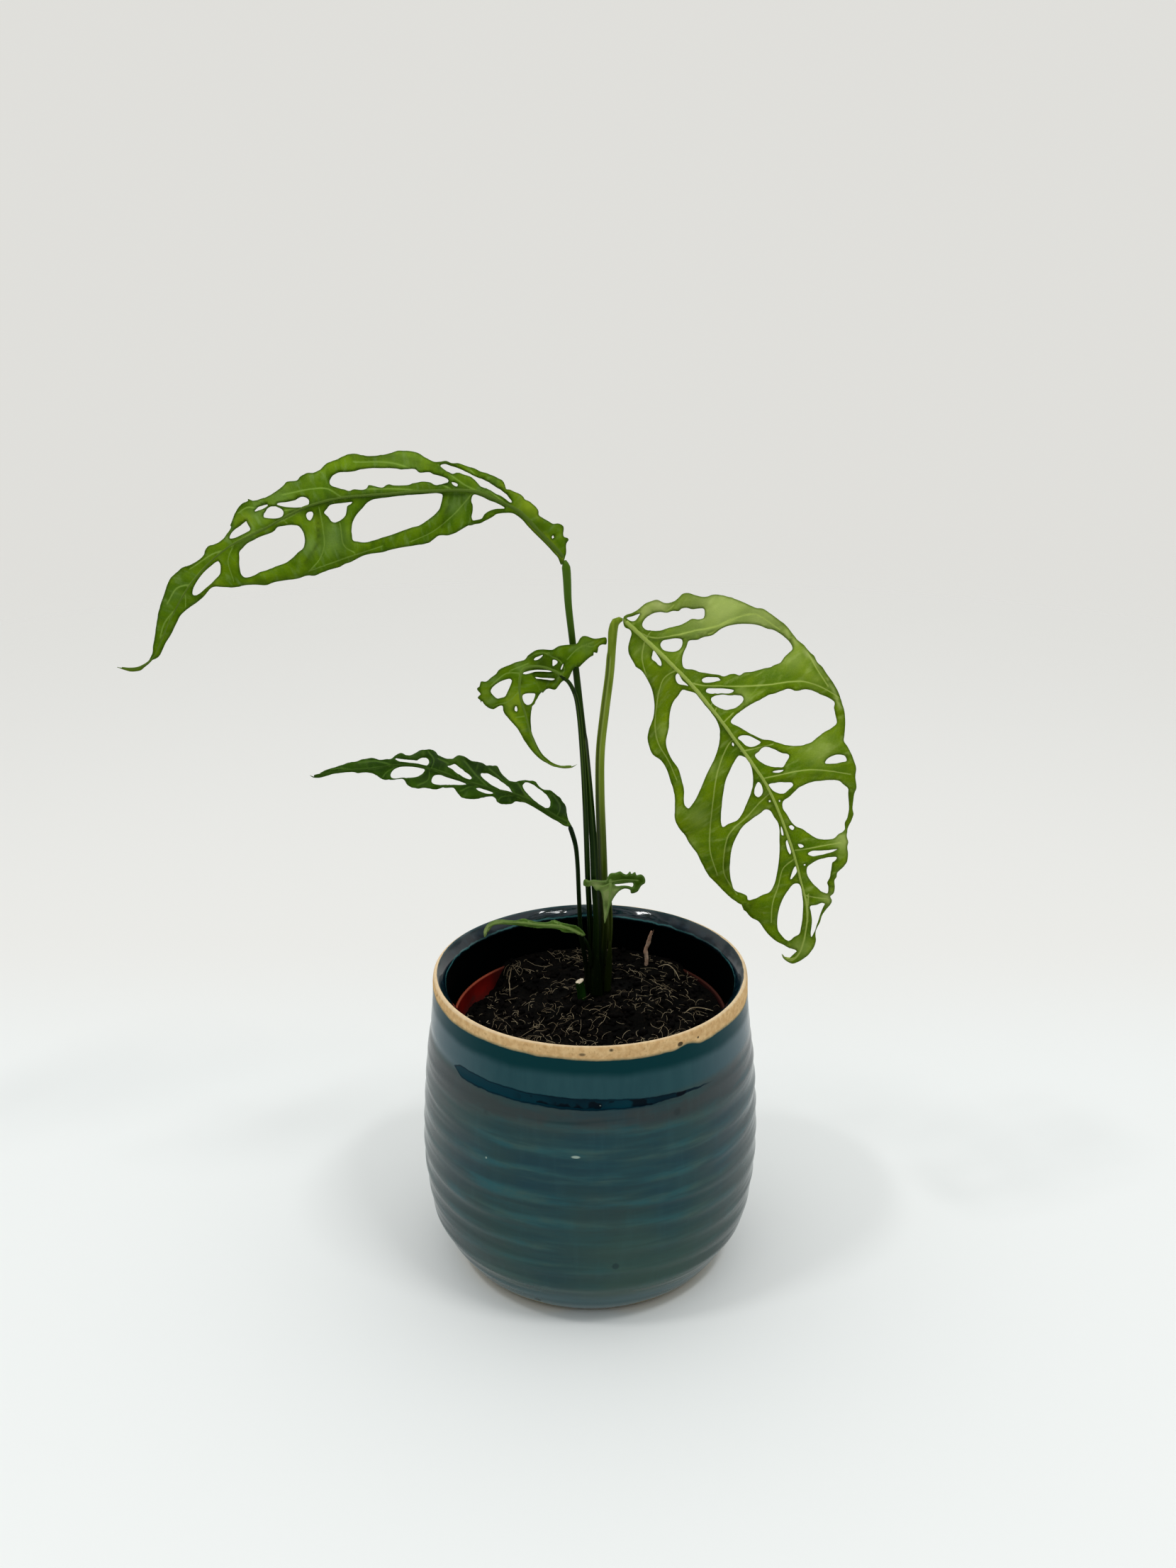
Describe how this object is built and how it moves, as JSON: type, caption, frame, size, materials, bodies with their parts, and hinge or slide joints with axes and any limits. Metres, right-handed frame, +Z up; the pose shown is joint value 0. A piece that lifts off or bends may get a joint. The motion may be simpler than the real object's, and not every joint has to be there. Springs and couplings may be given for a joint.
{
  "type": "potted monstera obliqua",
  "caption": "Young perforated-leaf aroid on slender petioles, in a tapered nursery pot of soil, standing in a round-shouldered thrown and glazed cover pot.",
  "frame": {"origin": "middle of the flat foot of the cover pot, on the surface that it stands on", "axes": "+Z up along the pot's axis, +X to the side where the broad right-hand leaf hangs, +Y towards the back"},
  "size_m": [0.2961, 0.1482, 0.361],
  "materials": {
    "glazed_stoneware": "glossy blue-green glaze over a buff clay body, with a dark band below the lip",
    "terracotta_plastic": "satin moulded plastic",
    "potting_soil": "loose damp fibrous potting mix",
    "root_fibre": "dry bark and root fibre",
    "stalk_green": "smooth fresh plant stalk, satin",
    "stalk_pale": "smooth fresh plant stalk, satin, yellow-green",
    "leaf_green": "fresh leaf, satin, translucent",
    "leaf_bright": "young fresh leaf, satin, translucent",
    "leaf_dark": "mature fresh leaf, satin, translucent"
  },
  "bodies": {
    "root": {"cover_pot": "glazed_stoneware", "nursery_pot": "terracotta_plastic", "potting_soil": "potting_soil", "crown_stem": "stalk_green", "petiole_upper_left": "stalk_green", "petiole_right": "stalk_pale", "petiole_middle": "stalk_green", "petiole_lower_left": "stalk_green", "petiole_small_right": "stalk_pale", "petiole_low_left": "stalk_green", "cut_petiole_stub": "stalk_green", "soil_twig": "root_fibre", "root_fibre_right": "root_fibre", "root_fibre_left": "root_fibre", "root_fibre_front": "root_fibre", "leaf_right": "leaf_bright", "leaf_upper_left": "leaf_green", "leaf_middle": "leaf_green", "leaf_lower_left": "leaf_dark", "leaf_small_right": "leaf_bright", "leaf_low_left": "leaf_green"}
  },
  "joints": []
}
